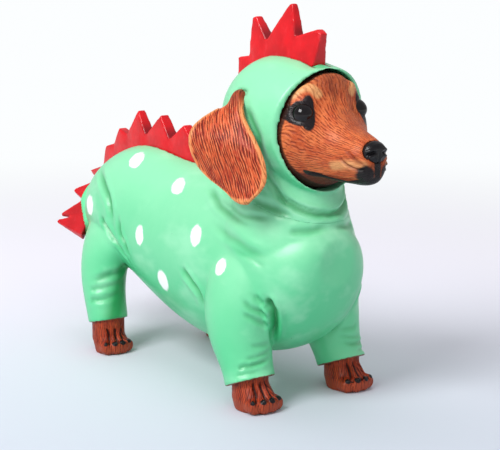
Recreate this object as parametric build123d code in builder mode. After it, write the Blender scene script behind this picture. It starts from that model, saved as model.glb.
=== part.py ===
from build123d import *
import os
from math import atan2, cos, hypot, radians, sin

# A dachshund figurine in a hooded dinosaur suit, as its separately moulded pieces.
# Millimetres. The dog stands on z = 0, looks along -Y, and its left side is +X.
# Every piece is cast by itself and luted to its neighbours: a crest has a tongue in a groove,
# an ear and the tail have a root in a socket, a paw has a wrist in its sleeve, the face is a
# plug in the mouth of the hood, and the hood stands on the suit with a peg.
# The last section moves the whole figure so that its footprint is centred on the origin.

os.makedirs("parts", exist_ok=True)

# ---------------------------------------------------------------- driving sizes
# torso and sleeves
chest_front = -16.0  # y of the breastbone
body_length = 140.0  # breastbone to rump
body_width = 46.0
back_height = 76.0  # floor to the highest point of the rump
belly_clearance = 11.6  # floor to the lowest point of the belly
front_leg_spread = 19.6  # middle of the body to the middle of a front leg
rear_leg_spread = 20.5
rear_left_step = 7.0  # how far the left rear leg stands in front of the right one
rear_left_out = 4.5  # and further out to the side
front_leg_y = 4.5  # where a front sleeve ends
rear_leg_y = 91.0
front_hem_height = 8.6
rear_hem_height = 11.4
front_hem_tilt = 22.0  # degrees, the hem hangs lower behind
rear_hem_tilt = 14.0

# paws
front_paw_width = 13.6
front_paw_length = 16.0
rear_paw_width = 12.8
rear_paw_length = 13.0
paw_height = 8.5
wrist_width = 12.0
wrist_depth = 5.0  # how far a wrist goes up its sleeve
toe_count = 4
toe_radius = 2.7
toe_reach = 1.2  # how far the toes stand out in front of the foot

# hood and neck
hood_width = 39.4
hood_height = 41.0
hood_length = 44.0
hood_rim_y = -9.0  # where the face leaves the hood
rim_reach = 2.0  # the middle of the rim stands this much further forward
rim_bend = 36.0  # seen from above, the rim is an arc of this radius
head_rise = 17.5  # back height to the middle of the hood
opening_width = 34.0
opening_height = 38.4
opening_drop = 2.9  # middle of the hood down to the middle of the opening
neck_width = 34.0
neck_length = 41.0  # front to back
neck_y = 9.3  # middle of the neck
seam_drop = 8.5  # back height down to the neck seam
seam_tilt = 16.0  # degrees, the seam rises towards the back
neck_peg_radius = 7.0
neck_peg_length = 6.0
peg_clearance = 0.2

# face
skull_clearance = 0.4  # all round, between the face and the mouth of the hood
skull_depth = 11.0  # hood rim back to the flat rear of the face
plug_length = 8.0  # of the face inside the hood
face_length = 24.7  # hood rim to the front of the lips
brow_width = 29.0
muzzle_width = 16.4
muzzle_drop = 9.5  # middle of the hood down to the middle of the muzzle
eye_radius = 3.5
eye_spacing = 23.0
eye_rise = 2.7  # middle of the hood up to the eyes
eye_inset = 3.7  # hood rim forward to the middle of an eye
eye_turn = 34.0  # degrees that an eye looks to its side
nose_width = 8.8
nose_height = 7.2
nose_rise = 2.0  # middle of the muzzle up to the nose

# ears
ear_length = 33.6
ear_width = 26.5
ear_thickness = 3.2
ear_flare = 27.0  # degrees that the widest part swings away from the head
ear_offset = 21.6  # middle of the head to the front edge of an ear
ear_root_y = 11.2
ear_root_rise = 8.1  # middle of the hood up to the root

# crests and tail
crest_thickness = 5.8
crest_tip_thickness = 2.2
crest_sink = 2.0  # depth of the tongue under the surface
tail_root_radius = 5.2
tail_tip_radius = 2.6
tail_crest_thickness = 3.8
tail_crest_sink = 1.5
tail_spike_length = 14.4
tail_spike_foot = 12.0

SIDES = {"right": -1, "left": 1}
head_z = back_height + head_rise


# ---------------------------------------------------------------- shared shapes
def oval(plane, across, along):
    """An elliptical section on a plane, from its two full widths."""
    with BuildSketch(plane) as section:
        Ellipse(across / 2, along / 2)
    return section.sketch.face()


def octagon(plane, share):
    """The eight-sided section of a carved toe, from its share of the full radius."""
    with BuildSketch(plane) as section:
        RegularPolygon(share * toe_radius, 8, rotation=180 / 8)
    return section.sketch.face()


def facing(y, z, x=0.0):
    """A plane that faces the front of the dog at y, its own origin at (x, z)."""
    return Plane(origin=(x, y, z), x_dir=(1, 0, 0), z_dir=(0, -1, 0))


def level(x, y, z, tilt=0.0):
    """A level plane at height z, falling towards the back by tilt degrees."""
    return Plane(origin=(x, y, z), x_dir=(1, 0, 0), z_dir=(0, sin(radians(tilt)), cos(radians(tilt))))


def polar(point, hub):
    """Angle and distance of a (y, z) point around a hub."""
    return atan2(point[0] - hub[0], point[1] - hub[1]), hypot(point[0] - hub[0], point[1] - hub[1])


def sunk(point, hub, depth):
    """A (y, z) point moved towards a hub by depth."""
    angle, radius = polar(point, hub)
    return hub[0] + (radius - depth) * sin(angle), hub[1] + (radius - depth) * cos(angle)


def crest(outline, surface, hub):
    """A serrated crest: its outline cut from a disc around the hub that thins to its rim."""
    inner = [sunk(point, hub, crest_sink) for point in reversed(surface)]
    with BuildSketch(Plane.YZ) as blade:
        with BuildLine():
            Polyline(*outline, *inner, close=True)
        make_face()
    extrude(blade.sketch, amount=crest_thickness, both=True)
    root = min(polar(point, hub)[1] for point in surface)
    tip = max(polar(point, hub)[1] for point in outline)
    with BuildSketch(Plane.XY.offset(hub[1])) as disc:
        with BuildLine():
            Polyline((crest_thickness / 2, hub[0] + root), (crest_tip_thickness / 2, hub[0] + tip + 1),
                     (-crest_tip_thickness / 2, hub[0] + tip + 1), (-crest_thickness / 2, hub[0] + root),
                     (-crest_thickness / 2, hub[0] + 1), (crest_thickness / 2, hub[0] + 1), close=True)
        make_face()
    revolve(disc.sketch, axis=Axis((0, hub[0], hub[1]), (1, 0, 0)), mode=Mode.INTERSECT)


# ---------------------------------------------------------------- outlines of torso and hood
# share of the length, share of the width, belly and back as heights over their datum
TORSO = (
    (0.005, 0.30, 29.0, -20.0),
    (0.030, 0.62, 19.5, -16.0),
    (0.072, 0.82, 11.5, -13.0),
    (0.144, 0.96, 5.2, -9.5),
    (0.245, 0.98, 1.2, -5.5),
    (0.360, 1.00, 0.0, -3.0),
    (0.475, 0.98, 1.2, -3.0),
    (0.590, 0.96, 5.6, -2.0),
    (0.705, 0.96, 12.6, 0.0),
    (0.806, 0.935, 18.4, -1.0),
    (0.885, 0.83, 21.5, -5.4),
    (0.942, 0.63, 24.5, -11.6),
    (0.978, 0.41, 27.5, -18.0),
    (0.997, 0.17, 33.0, -24.5),
)
# share of the length, middle over the middle of the head, shares of the width and height
HOOD = (
    (-0.045, -2.8, 0.925, 0.955),
    (0.000, -2.6, 0.945, 0.98),
    (0.200, -1.5, 0.985, 1.0),
    (0.430, 0.0, 1.0, 0.975),
    (0.660, 0.0, 0.914, 0.90),
    (0.840, -0.5, 0.69, 0.685),
    (0.955, -0.5, 0.37, 0.40),
    (0.990, -0.5, 0.16, 0.18),
)


def torso_y(share):
    return chest_front + share * body_length


def hood_y(share):
    return hood_rim_y + share * hood_length


back_line = [(torso_y(share), back_height + back) for share, _, _, back in TORSO]
crown_line = [(hood_y(share), head_z + rise + tall * hood_height / 2) for share, rise, _, tall in HOOD]


# ---------------------------------------------------------------- head crest
# share of the hood's length, rise over its crown: a blunt front spike, then three behind it
HEAD_CREST = (
    (0.075, -2.8), (0.022, 6.8), (0.070, 8.2),
    (0.300, 5.6), (0.352, 15.9), (0.390, 15.7),
    (0.640, 3.7), (0.782, 11.3), (0.832, 10.7),
    (0.850, -1.8), (0.990, -2.6), (0.985, -12.0),
)
hood_hub = (hood_y(0.48), head_z)
crown_z = head_z + hood_height / 2

with BuildPart() as head_crest:
    head_outline = [(hood_y(share), crown_z + rise) for share, rise in HEAD_CREST]
    crest(head_outline, crown_line[2:-1], hood_hub)

# ---------------------------------------------------------------- back crest
# share of the body's length, rise over the back: tips and the dips between them
BACK_CREST = (
    (0.430, -3.0), (0.492, 6.0), (0.548, 2.4), (0.598, 9.3), (0.659, 3.2), (0.703, 11.5),
    (0.772, 3.2), (0.814, 12.1), (0.870, 2.0), (0.911, 4.0), (0.940, -2.4), (0.984, -4.0),
    (1.000, -12.0), (1.078, -15.2), (0.994, -21.0),
)
rump_hub = (torso_y(0.70), back_height / 2)

with BuildPart() as back_crest:
    back_outline = [(torso_y(share), back_height + rise) for share, rise in BACK_CREST]
    crest(back_outline, back_line[6:-1], rump_hub)

# ---------------------------------------------------------------- tail and its crest
# the tail leaves the rump and hangs against the right thigh; its middle line, from the middle of
# the rump's end: sideways, backwards, and height as a share of the back's height
TAIL = ((0.0, -11.0, 0.715), (-1.2, -2.5, 0.735), (-4.6, 1.3, 0.711), (-8.4, -1.5, 0.651), (-11.2, -5.5, 0.596),
        (-13.0, -9.5, 0.553), (-14.0, -13.5, 0.520))
with BuildLine() as tail_route:
    Spline(*[(x, torso_y(1.0) + back, share * back_height) for x, back, share in TAIL])

# share along the tail, where the spike points, shares of its full length and of its foot
TAIL_SPIKES = ((0.42, (-4.0, 7.8, 0.6), 0.60, 0.8), (0.62, (-9.0, 7.0, -2.5), 0.80, 0.8),
               (0.86, (-8.2, 12.0, 1.3), 1.0, 1.0))

with BuildPart() as tail_crest:
    for share, reach, length, foot_share in TAIL_SPIKES:
        lengthwise = tail_route.line % share
        outward = Vector(*reach).normalized()
        across = outward.cross(lengthwise).normalized()
        root_point = tail_route.line @ share + outward * (tail_tip_radius - tail_crest_sink)
        tip_point = tail_route.line @ share + outward * length * tail_spike_length
        with BuildSketch(Plane(origin=root_point, x_dir=across, z_dir=outward)) as foot:
            Rectangle(tail_crest_thickness, foot_share * tail_spike_foot)
        with BuildSketch(Plane(origin=tip_point, x_dir=across, z_dir=outward)) as tip:
            Rectangle(tail_crest_thickness / 3, tail_crest_thickness / 3)
        loft([foot.sketch.face(), tip.sketch.face()], ruled=True)

# share along the tail and share of the taper's radius
TAIL_RINGS = ((0.0, 1.0), (0.17, 1.0), (0.33, 1.0), (0.5, 1.0), (0.67, 1.0), (0.83, 1.0), (0.95, 0.94), (1.0, 0.6))
with BuildPart() as tail:
    tail_sections = []
    for share, size in TAIL_RINGS:
        width = 2 * size * (tail_root_radius + (tail_tip_radius - tail_root_radius) * share)
        ring_plane = Plane(origin=tail_route.line @ share, x_dir=(1, 0, 0), z_dir=tail_route.line % share)
        tail_sections.append(oval(ring_plane, width, width))
    loft(tail_sections)
    add(tail_crest.part, mode=Mode.SUBTRACT)
    add(back_crest.part, mode=Mode.SUBTRACT)

# ---------------------------------------------------------------- paws
# height as a share of the paw's height, shares of its width and length, setback of the middle
FOOT = ((0.0, 0.90, 0.88, -0.3), (0.45, 1.0, 1.0, 0.0), (1.0, 0.84, 0.76, 1.9))


def paw(side, spread, y, width, length, hem_height):
    """A foot with its toes, and a wrist that goes up into the sleeve."""
    x = side * spread
    middle = y - length / 8
    foot = [oval(level(x, middle + setback, share * paw_height), across * width, lengthwise * length)
            for share, across, lengthwise, setback in FOOT]
    loft(foot, ruled=True)
    wrist_top = hem_height + wrist_depth
    extrude(oval(level(x, y, paw_height / 2), wrist_width, wrist_width), amount=wrist_top - paw_height / 2)
    for toe in range(toe_count):
        share = (toe + 0.5) / toe_count - 0.5
        turn = 30 * share
        front = middle - length / 2 - toe_reach + 10 * share * share
        toe_plane = Plane(origin=(x + share * (width - 1), front, toe_radius - 0.2), x_dir=(0, 0, 1),
                          z_dir=(sin(radians(turn)) * -1, cos(radians(turn)), 0))
        loft([octagon(toe_plane, 0.62), octagon(toe_plane.offset(0.3 * toe_radius), 0.9),
              octagon(toe_plane.offset(toe_radius), 1.0), octagon(toe_plane.offset(length / 2), 1.0)], ruled=True)
    split(bisect_by=Plane.XY, keep=Keep.TOP)


rear_stance = {-1: (rear_leg_spread, rear_leg_y), 1: (rear_leg_spread + rear_left_out, rear_leg_y - rear_left_step)}
paws = {}
for side_name, side in SIDES.items():
    with BuildPart() as front_paw:
        paw(side, front_leg_spread, front_leg_y, front_paw_width, front_paw_length, front_hem_height)
    with BuildPart() as rear_paw:
        paw(side, *rear_stance[side], rear_paw_width, rear_paw_length, rear_hem_height)
    paws[f"front_{side_name}_paw"] = front_paw
    paws[f"rear_{side_name}_paw"] = rear_paw

# ---------------------------------------------------------------- ears
# share down the ear, shares of its width and flare, middle of the chord in front of and out from the root
EAR = ((-0.04, 0.16, 0.0, 0.5, -5.0), (0.03, 0.35, 0.0, -0.7, -2.0), (0.22, 0.61, 0.70, -0.5, 0.0),
       (0.38, 0.89, 1.0, 1.5, 0.0), (0.50, 0.98, 0.95, 3.6, 0.0), (0.62, 1.0, 0.84, 5.2, 0.0),
       (0.77, 0.84, 0.72, 7.8, 0.6), (0.90, 0.52, 0.62, 10.6, 2.6), (0.985, 0.20, 0.55, 12.3, 3.8))

with BuildPart() as right_ear:
    ear_rings = []
    for share, wide, flare_share, forward, out in EAR:
        flare = radians(ear_flare * flare_share)
        chord = ear_width * wide
        x = ear_offset + out + chord / 2 * sin(flare)
        centre = (-x, ear_root_y - forward, head_z + ear_root_rise - share * ear_length)
        chord_plane = Plane(origin=centre, x_dir=(-sin(flare), cos(flare), 0), z_dir=(0, 0, -1))
        ear_rings.append(oval(chord_plane, chord, ear_thickness))
    loft(ear_rings)

with BuildPart() as left_ear:
    mirror(right_ear.part, about=Plane.YZ)

ears = {"right_ear": right_ear, "left_ear": left_ear}

# ---------------------------------------------------------------- face, eyes and nose
muzzle_z = head_z - muzzle_drop
socket_z = head_z - opening_drop
skull_width = opening_width - 2 * skull_clearance
skull_height = opening_height - 2 * skull_clearance
# share of the face in front of the rim, middle, width, height
FACE = (
    (-0.14, socket_z, 0.98 * skull_width, 0.98 * skull_height),
    (0.00, socket_z + 0.1, 0.95 * skull_width, 0.965 * skull_height),
    (0.11, socket_z + 0.4, brow_width, 34.2),
    (0.30, muzzle_z + 3.2, 0.78 * brow_width, 23.4),
    (0.50, muzzle_z + 0.8, 1.02 * muzzle_width, 18.8),
    (0.70, muzzle_z - 0.1, 0.88 * muzzle_width, 15.8),
    (0.87, muzzle_z - 0.6, 0.74 * muzzle_width, 13.6),
    (0.97, muzzle_z - 1.2, 0.50 * muzzle_width, 10.6),
    (1.00, muzzle_z - 1.2, 0.28 * muzzle_width, 6.0),
)

eyes = {}
for side_name, side in SIDES.items():
    with BuildPart() as eye:
        eye_centre = (side * eye_spacing / 2, hood_rim_y - eye_inset, head_z + eye_rise)
        gaze = (side * sin(radians(eye_turn)), -cos(radians(eye_turn)), 0)
        with Locations(Plane(origin=eye_centre, z_dir=gaze)):
            Sphere(eye_radius, arc_size1=-10)
    eyes[f"{side_name}_eye"] = eye

nose_z = muzzle_z + nose_rise
NOSE = ((0.80, 0.60), (0.88, 0.96), (0.95, 1.0), (1.01, 0.80), (1.035, 0.40))
with BuildPart() as nose:
    loft([oval(facing(hood_rim_y - share * face_length, nose_z), size * nose_width, size * nose_height)
          for share, size in NOSE], ruled=True)

with BuildPart() as dog_head:
    extrude(oval(facing(hood_rim_y + skull_depth, socket_z), skull_width, skull_height), amount=plug_length)
    loft([oval(facing(hood_rim_y - share * face_length, z), wide, tall) for share, z, wide, tall in FACE])
    for eye in eyes.values():
        add(eye.part, mode=Mode.SUBTRACT)
    add(nose.part, mode=Mode.SUBTRACT)


# ---------------------------------------------------------------- hood and suit
seam = Plane(origin=(0, neck_y, back_height - seam_drop), x_dir=(1, 0, 0),
             z_dir=(0, -sin(radians(seam_tilt)), cos(radians(seam_tilt))))
# rise over the seam, swell of the width and of the length, setback
NECK = ((-26.0, 1.22, 1.16, 1.0), (-14.0, 1.26, 1.19, 0.9), (-8.0, 1.15, 1.10, 0.5), (-2.0, 1.02, 1.01, 0.0),
        (5.0, 0.98, 0.96, 0.7), (12.0, 0.93, 0.84, 0.9), (19.0, 0.80, 0.64, 0.9))


def neck_column():
    """The neck, from inside the chest to inside the hood."""
    loft([oval(level(0, neck_y + setback, back_height - seam_drop + rise), wide * neck_width, long * neck_length)
          for rise, wide, long, setback in NECK])


with BuildPart() as hood:
    loft([oval(facing(hood_y(share), head_z + rise), wide * hood_width, tall * hood_height)
          for share, rise, wide, tall in HOOD])
    with BuildSketch():
        with Locations((0, hood_rim_y - rim_reach + rim_bend)):
            Circle(rim_bend)
    extrude(amount=2 * head_z, mode=Mode.INTERSECT)
    neck_column()
    split(bisect_by=seam, keep=Keep.TOP)
    with BuildSketch(seam):
        Circle(neck_peg_radius)
    extrude(amount=-neck_peg_length)
    with BuildSketch(facing(hood_rim_y + skull_depth, socket_z)):
        Ellipse(opening_width / 2, opening_height / 2)
    extrude(amount=2 * skull_depth, mode=Mode.SUBTRACT)
    add(head_crest.part, mode=Mode.SUBTRACT)
    for ear in ears.values():
        add(ear.part, mode=Mode.SUBTRACT)


def sleeve(side, spread, y, rings, hem_height, hem_tilt, hem_size):
    """A sleeve from inside the torso down to its hem, by rings of height, inset, setback and widths."""
    sections = [oval(level(side * (spread - inset), y + setback, height), across, lengthwise)
                for height, inset, setback, across, lengthwise in rings]
    sections.append(oval(level(side * spread, y, hem_height, hem_tilt), *hem_size))
    loft(sections)


FRONT_SLEEVE = ((54.0, 9.5, 9.5, 12.0, 20.0), (44.0, 4.2, 8.4, 19.0, 27.2), (35.0, 1.8, 8.0, 20.4, 26.8),
                (24.0, 0.7, 6.8, 20.2, 23.2), (15.5, 0.5, 3.7, 18.0, 19.0))
REAR_SLEEVE = ((52.0, 10.5, 6.0, 13.0, 24.0), (38.0, 3.7, 4.7, 17.6, 22.8),
               (28.0, 1.4, 4.7, 17.0, 16.8), (19.0, 0.4, 2.5, 15.4, 15.6))
FRONT_HEM = (16.8, 17.4)
REAR_HEM = (14.4, 15.2)

with BuildPart() as suit_body:
    loft([oval(facing(torso_y(share), (belly_clearance + belly + back_height + back) / 2), wide * body_width,
               back_height + back - belly_clearance - belly) for share, wide, belly, back in TORSO])
    neck_column()
    split(bisect_by=seam, keep=Keep.BOTTOM)
    for side in SIDES.values():
        sleeve(side, front_leg_spread, front_leg_y, FRONT_SLEEVE, front_hem_height, front_hem_tilt, FRONT_HEM)
        sleeve(side, *rear_stance[side], REAR_SLEEVE, rear_hem_height, rear_hem_tilt, REAR_HEM)
    with BuildSketch(seam):
        Circle(neck_peg_radius + peg_clearance)
    extrude(amount=-neck_peg_length - peg_clearance, mode=Mode.SUBTRACT)
    add(back_crest.part, mode=Mode.SUBTRACT)
    add(tail_crest.part, mode=Mode.SUBTRACT)
    add(tail.part, mode=Mode.SUBTRACT)
    for piece in paws.values():
        add(piece.part, mode=Mode.SUBTRACT)

# ---------------------------------------------------------------- the pieces, centred on their footprint
pieces = {"suit_body": suit_body, "hood": hood, "dog_head": dog_head, "nose": nose, **eyes, **ears, **paws,
          "head_crest": head_crest, "back_crest": back_crest, "tail": tail, "tail_crest": tail_crest}
whole = Compound([piece.part for piece in pieces.values()]).bounding_box()
to_origin = Location((-(whole.min.X + whole.max.X) / 2, -(whole.min.Y + whole.max.Y) / 2, -whole.min.Z))
for name, piece in pieces.items():
    piece.part.move(to_origin)
    piece.part.label = name
    export_step(piece.part, f"parts/{name}.step")
print("overall size", whole.size, "moved by", to_origin.position)
for name, piece in pieces.items():
    print(f"{name:18} valid {piece.part.is_valid} solids {len(piece.part.solids())} volume {piece.part.volume:.0f}")
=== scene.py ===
# %% [markdown]
# # A dog figurine in a dinosaur suit
# The figurine is a set of ceramic castings: a hooded suit, a carved face, two ears, four paws and three red
# crests. Every casting is glazed or painted by hand. The CAD gives their sizes and places, so this lesson
# loads it as a fixed frame and dresses it: softer edges, folds in the suit, carved fur and painted
# surfaces.
# %% The fixed frame
import math
import bmesh
import bpy
import numpy as np
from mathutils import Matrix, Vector


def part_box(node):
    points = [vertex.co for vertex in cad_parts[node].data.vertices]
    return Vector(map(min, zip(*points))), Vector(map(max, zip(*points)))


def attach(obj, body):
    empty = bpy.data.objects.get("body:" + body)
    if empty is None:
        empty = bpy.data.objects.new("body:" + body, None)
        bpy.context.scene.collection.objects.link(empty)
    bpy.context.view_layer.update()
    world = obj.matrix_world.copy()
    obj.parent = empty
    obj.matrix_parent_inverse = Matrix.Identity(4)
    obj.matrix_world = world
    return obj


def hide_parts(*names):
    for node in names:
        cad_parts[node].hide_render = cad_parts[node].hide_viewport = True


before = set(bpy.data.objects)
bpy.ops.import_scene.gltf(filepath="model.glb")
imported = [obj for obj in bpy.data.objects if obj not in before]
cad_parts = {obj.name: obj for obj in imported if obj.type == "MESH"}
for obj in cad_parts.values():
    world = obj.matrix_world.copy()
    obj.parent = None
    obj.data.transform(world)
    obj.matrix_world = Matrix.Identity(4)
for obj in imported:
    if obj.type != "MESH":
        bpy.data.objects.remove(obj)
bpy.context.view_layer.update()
print("castings:", len(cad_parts))

# %% [markdown]
# ## Millimetres from the front feet
# A figurine is sculpted in millimetres, so the lesson measures from the spot on the floor between the front
# feet: x towards the dog's left, y towards its tail, z up. The nose's tip gives that spot's place in the
# frame.
# %% Units and places
MM = 0.001
NOSE_REACH = 34.56
FEET = Vector((0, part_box("nose")[0].y / MM + NOSE_REACH, 0))


def spot(x, y, z):
    """A place in metres in the frame, from millimetres measured at the front feet."""
    return (Vector((x, y, z)) + FEET) * MM


def from_feet(places):
    """Places of the frame, in metres, as millimetres from the front feet."""
    return np.asarray(places) / MM - np.array(FEET)


def casting_box(node):
    """The lowest and the highest corner of a CAD node, in millimetres from the front feet."""
    low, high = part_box(node)
    return from_feet(low), from_feet(high)


print("front feet at y =", round(FEET.y, 2), "mm")

# %% [markdown]
# ## The camera
# A long lens from the dog's front right, a little above its back, keeps the figurine's proportions calm.
# %% The camera
VIEW_TARGET = spot(-23.1, 0, 61.4)
VIEW_AZIMUTH = math.radians(-37.1)
VIEW_ELEVATION = math.radians(10.7)
VIEW_DISTANCE = 450 * MM


def towards(azimuth, elevation):
    """The direction from the figurine to a camera or a lamp; azimuth 0 is straight ahead of the dog."""
    flat = math.cos(elevation)
    return Vector((math.sin(azimuth) * flat, -math.cos(azimuth) * flat, math.sin(elevation)))


def aimed(thing, place, target):
    """Puts a camera or lamp at a place and turns its -Z at the target."""
    thing.location = place
    thing.rotation_euler = (target - place).to_track_quat("-Z", "Y").to_euler()
    bpy.context.scene.collection.objects.link(thing)


lens = bpy.data.cameras.new("portrait_lens")
lens.lens = 102.8
lens.sensor_width = 36
camera = bpy.data.objects.new("camera", lens)
aimed(camera, VIEW_TARGET + VIEW_DISTANCE * towards(VIEW_AZIMUTH, VIEW_ELEVATION), VIEW_TARGET)
bpy.context.scene.camera = camera
bpy.context.scene.view_settings.view_transform = "Standard"
print("camera at", [round(c, 3) for c in camera.location])

# %% [markdown]
# ## Shader arithmetic
# A painted surface is a sum of masks: dots, strokes, washes. Node trees for those are long, so one small
# class wraps an output socket, and an expression such as `1 - mask` adds the Math nodes.
# %% A class for sockets


class Wire:
    """An output socket of a material. Arithmetic on it adds Math nodes."""

    def __init__(self, tree, socket=None):
        self.tree = tree
        self.socket = socket

    def node(self, kind, settings=None, sockets=None, out=0):
        """Adds a node: settings first, then its sockets' values or links; returns one of its outputs."""
        made = self.tree.nodes.new("ShaderNode" + kind)
        for name, value in (settings or {}).items():
            setattr(made, name, value)
        for name, value in (sockets or {}).items():
            if isinstance(value, Wire):
                self.tree.links.new(value.socket, made.inputs[name])
            else:
                made.inputs[name].default_value = value
        return Wire(self.tree, made.outputs[out])

    def math(self, operation, first, second=0.0):
        return self.node("Math", {"operation": operation}, {0: first, 1: second})

    def __add__(self, other):
        return self.math("ADD", self, other)

    def __radd__(self, other):
        return self.math("ADD", other, self)

    def __sub__(self, other):
        return self.math("SUBTRACT", self, other)

    def __rsub__(self, other):
        return self.math("SUBTRACT", other, self)

    def __mul__(self, other):
        return self.math("MULTIPLY", self, other)

    def __rmul__(self, other):
        return self.math("MULTIPLY", other, self)

    def most(self, other):
        return self.math("MAXIMUM", self, other)

    def size(self):
        return self.math("ABSOLUTE", self)

    def comb(self):
        """A zigzag that runs from 0 to 1 and back once per unit."""
        return self.math("PINGPONG", self, 0.5) * 2

    def step(self, start, end):
        """A soft step from 0 at start to 1 at end; start may be the larger."""
        return self.node("MapRange", {"interpolation_type": "SMOOTHSTEP"},
                         {"Value": self, "From Min": start, "From Max": end})

    def mix(self, plain, painted):
        """A colour: plain where this mask is 0, painted where it is 1."""
        return self.node("Mix", {"data_type": "RGBA"}, {0: self, 6: plain, 7: painted}, out=2)

    def noise(self, scale, detail=2.0, stretch=(1, 1, 1)):
        """Noise over this vector, in cycles per unit, drawn out along the axes with a small stretch."""
        drawn = self.node("VectorMath", {"operation": "MULTIPLY"}, {0: self, 1: stretch})
        return drawn.node("TexNoise", {}, {"Vector": drawn, "Scale": scale, "Detail": detail})

    def split(self):
        """The three numbers of a vector."""
        made = self.node("SeparateXYZ", {}, {0: self})
        outputs = made.socket.node.outputs
        return [Wire(self.tree, outputs[axis]) for axis in range(3)]

    def oval(self, centre, radii, turn=(0, 0, 0)):
        """How far each point is from a centre: 1 on the oval with these radii."""
        placed = self.node("Mapping", {"vector_type": "TEXTURE"},
                           {"Vector": self, "Location": centre, "Rotation": turn, "Scale": radii})
        return placed.node("VectorMath", {"operation": "LENGTH"}, {0: placed}, out="Value")

    def stored(self, name):
        """A number that the piece stores for each of its points."""
        return self.node("Attribute", {"attribute_name": name}, {}, out="Fac")


def tone(red, green, blue):
    """A paint colour as it is given (0 to 255), made linear for the renderer."""
    shares = (red / 255, green / 255, blue / 255)
    linear = [c / 12.92 if c <= 0.04045 else ((c + 0.055) / 1.055) ** 2.4 for c in shares]
    return (*linear, 1.0)


# %% [markdown]
# ## One way to start every material
# Each finish starts with the same two things: a wire for the place on the piece, in millimetres from the
# front feet, and a Principled shader that the finish closes. A gloss glaze is a base with a clear coat over
# it.
# %% Starting and closing a material
MATERIALS = {}


def start(name):
    """A new material and the wire of its place in millimetres."""
    material = bpy.data.materials.new(name)
    material.use_nodes = True
    material.node_tree.nodes.clear()
    MATERIALS[name] = material
    tree = Wire(material.node_tree)
    place = tree.node("TexCoord", out="Object")
    return tree.node("Mapping", {}, {"Vector": place, "Scale": (1 / MM,) * 3, "Location": -FEET})


def link_output(shader):
    output = shader.tree.nodes.new("ShaderNodeOutputMaterial")
    shader.tree.links.new(shader.socket, output.inputs["Surface"])


def close(place, colour, roughness, height=None, relief=0.1, coat=0.0, coat_roughness=0.2, specular=0.5):
    """Joins colour, roughness and relief (the millimetres that a height of 1 stands up) to a shader."""
    sockets = {"Base Color": colour, "Roughness": roughness, "Coat Weight": coat,
               "Coat Roughness": coat_roughness, "Specular IOR Level": specular}
    if height is not None:
        bump = {"Height": height, "Distance": relief * MM, "Strength": 1.0}
        sockets["Normal"] = place.node("Bump", {}, bump)
    link_output(place.node("BsdfPrincipled", {}, sockets))


# %% [markdown]
# ## The studio
# The figurine stands on a pale sheet under soft, nearly shadowless light. The sheet is painted darker
# towards the camera, as painted shade, and fades to white with distance only as the camera sees it, so the
# backdrop adds no light to the figurine.
# %% Floor, world and lamps
FLOOR_SIZE = 6.0
floor_mesh = bmesh.new()
bmesh.ops.create_grid(floor_mesh, x_segments=8, y_segments=8, size=FLOOR_SIZE)
floor_data = bpy.data.meshes.new("floor")
floor_mesh.to_mesh(floor_data)
floor_mesh.free()
floor = bpy.data.objects.new("floor", floor_data)
bpy.context.scene.collection.objects.link(floor)


def make_floor():
    place = start("pale_sheet")
    x, y, z = place.split()
    # Painted shade: the sheet is painted darker and bluer towards the camera.
    near = (y * -0.8 - x * 0.6).step(-260, 130)
    paint = near.mix(tone(234, 234, 243), tone(192, 201, 212))
    sheet = place.node("BsdfPrincipled", {},
                       {"Base Color": paint, "Roughness": 0.7, "Specular IOR Level": 0.2})
    white = place.node("Emission", {}, {"Color": (0.972, 0.991, 1.0, 1.0), "Strength": 1.0})
    seen = place.node("LightPath", {}, {}, out="Is Camera Ray")
    glossy = place.node("LightPath", {}, {}, out="Is Glossy Ray")
    fade = seen.most(glossy) * place.oval((0, 60, 0), (1, 1, 1)).step(110, 560)
    link_output(place.node("MixShader", {}, {0: fade, 1: sheet, 2: white}))


make_floor()
floor.data.materials.append(MATERIALS["pale_sheet"])


def make_world(ambient):
    world = bpy.data.worlds.new("studio")
    world.use_nodes = True
    world.node_tree.nodes.clear()
    tree = Wire(world.node_tree)
    seen = tree.node("LightPath", {}, {}, out="Is Camera Ray")
    light = tree.node("Background", {}, {"Color": (1.0, 0.96, 1.0, 1.0), "Strength": ambient})
    white = tree.node("Background", {}, {"Color": (0.972, 0.991, 1.0, 1.0), "Strength": 1.0})
    both = tree.node("MixShader", {}, {0: seen, 1: light, 2: white})
    output = world.node_tree.nodes.new("ShaderNodeOutputWorld")
    world.node_tree.links.new(both.socket, output.inputs["Surface"])
    bpy.context.scene.world = world


make_world(0.5)


def softbox(name, azimuth, elevation, distance, size, power, glint=True):
    lamp = bpy.data.lights.new(name, "AREA")
    lamp.shape = "SQUARE"
    lamp.size = size
    lamp.energy = power
    target = spot(0, 40, 60)
    holder = bpy.data.objects.new(name, lamp)
    holder.visible_glossy = glint
    aimed(holder, target + distance * towards(math.radians(azimuth), math.radians(elevation)), target)


softbox("key_light", -80, 44, 0.9, 0.40, 6.9)
softbox("front_light", -25, 30, 1.1, 0.6, 1.8, glint=False)
softbox("top_light", 170, 72, 1.0, 0.7, 2.4, glint=False)

# %% [markdown]
# ## Castings from the frame
# A casting leaves its mould with soft edges. The CAD mesh has crisp ones and loose triangles, so a copy is
# merged, remeshed into even small faces and smoothed a few times. Its points can then be pressed and pulled
# like clay, which is how folds, eyelids and toes are made.
# %% Copying, remeshing and smoothing a casting


def cad_copy(name, nodes):
    """One new object with the merged meshes of some CAD nodes."""
    mesh = bmesh.new()
    for node in nodes:
        mesh.from_mesh(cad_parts[node].data)
    bmesh.ops.remove_doubles(mesh, verts=mesh.verts, dist=0.002 * MM)
    data = bpy.data.meshes.new(name)
    mesh.to_mesh(data)
    mesh.free()
    piece = bpy.data.objects.new(name, data)
    bpy.context.scene.collection.objects.link(piece)
    return piece


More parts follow.
